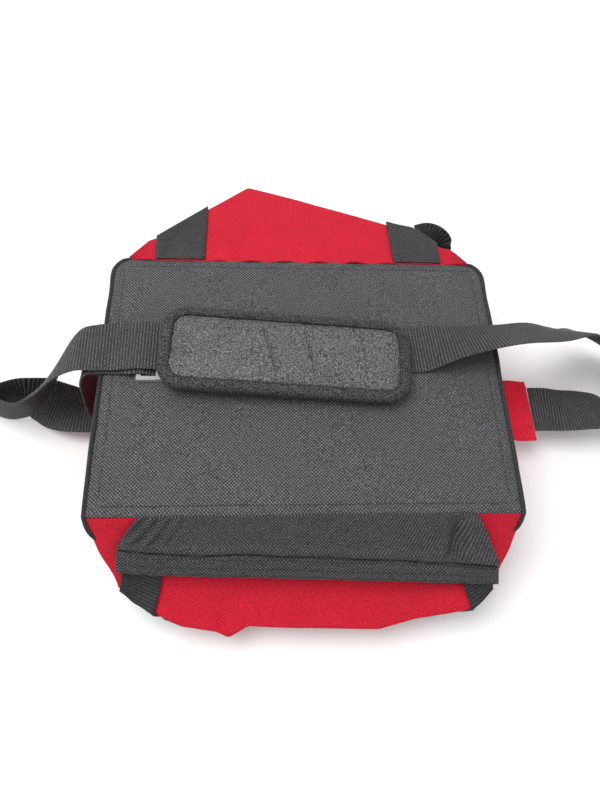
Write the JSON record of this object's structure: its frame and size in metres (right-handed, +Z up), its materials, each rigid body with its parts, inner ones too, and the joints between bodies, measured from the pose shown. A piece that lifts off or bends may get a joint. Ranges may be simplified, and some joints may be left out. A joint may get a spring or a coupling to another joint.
{
  "type": "small duffel bag",
  "caption": "Soft two-tone zip-top duffel bag lying upside down and collapsed, with a front pocket, webbing handles and a padded shoulder strap laid over its base.",
  "frame": {"origin": "on the floor, under the middle of the bag's outline without its shoulder strap", "axes": "+Z up out of the base panel, which faces up in this pose; +X along the bag towards the end tab that the strap is sewn to; +Y towards the bag's back"},
  "size_m": [0.5375, 0.3766, 0.0981],
  "materials": {
    "black_fabric": "woven polyester, black, fine diagonal weave",
    "red_fabric": "woven polyester, bright red",
    "webbing": "ribbed polypropylene webbing, black",
    "piping": "bound piping, black",
    "stiffener": "plastic board",
    "zipper_tape": "knitted tape, black",
    "zipper_coil": "nylon coil, black",
    "zipper_metal": "plated zinc",
    "black_plastic": "moulded acetal, black",
    "grey_plastic": "moulded plastic, light grey",
    "pad_leatherette": "embossed leatherette, soft sheen",
    "pad_binding": "woven binding tape, black",
    "pad_backing": "woven backing, black",
    "foam": "closed-cell foam"
  },
  "bodies": {
    "shell": {"base_panel": "black_fabric", "base_board": "stiffener", "back_panel": "red_fabric", "front_panel": "red_fabric", "left_end_panel": "red_fabric", "right_end_panel": "red_fabric", "left_piping": "piping", "right_piping": "piping", "pocket_panel": "black_fabric", "pocket_hem": "black_fabric", "top_back_panel": "black_fabric", "top_front_panel": "black_fabric", "zipper_tape_back": "zipper_tape", "zipper_tape_front": "zipper_tape", "zipper_coil_back": "zipper_coil", "zipper_coil_front": "zipper_coil", "zipper_stop_left": "zipper_metal", "zipper_stop_right": "zipper_metal", "right_tab": "red_fabric", "left_tab": "red_fabric", "strap_main": "webbing", "strap_return": "webbing", "strap_adjuster": "grey_plastic", "back_handle_leg_left": "webbing", "back_handle_leg_right": "webbing", "front_handle_leg_left": "webbing", "front_handle_leg_right": "webbing"},
    "ring": {"strap_ring": "black_plastic"},
    "pad": {"pad_back": "pad_backing", "pad_foam": "foam", "pad_face": "pad_leatherette", "pad_binding": "pad_binding", "pad_sleeve": "pad_backing"},
    "slider": {"zipper_slider": "zipper_metal"},
    "pull": {"zipper_pull": "zipper_metal"},
    "back_handle": {"back_handle_loop": "webbing"},
    "front_handle": {"front_handle_loop": "webbing"}
  },
  "joints": [
    {"name": "zipper_slide", "type": "slide", "parent": "shell", "child": "slider", "axis": [-1, 0, 0], "range_m": [0, 0.2]},
    {"name": "pull_swing", "type": "hinge", "parent": "slider", "child": "pull", "pos_m": [0.0858, -0.0161, 0.005], "axis": [0, -1, 0], "range_deg": [0, 150]},
    {"name": "pad_slide", "type": "slide", "parent": "shell", "child": "pad", "axis": [1, 0, 0], "range_m": [-0.004, 0.01]},
    {"name": "ring_swing", "type": "hinge", "parent": "shell", "child": "ring", "pos_m": [-0.1657, -0.0171, 0.021], "axis": [0, 1, 0], "range_deg": [-3, 6]},
    {"name": "back_handle_swing", "type": "hinge", "parent": "shell", "child": "back_handle", "pos_m": [-0.0182, 0.1329, 0.056], "axis": [1, 0, 0], "range_deg": [0, 120]},
    {"name": "front_handle_swing", "type": "hinge", "parent": "shell", "child": "front_handle", "pos_m": [-0.0182, -0.1681, 0.03], "axis": [-1, 0, 0], "range_deg": [0, 120]}
  ]
}
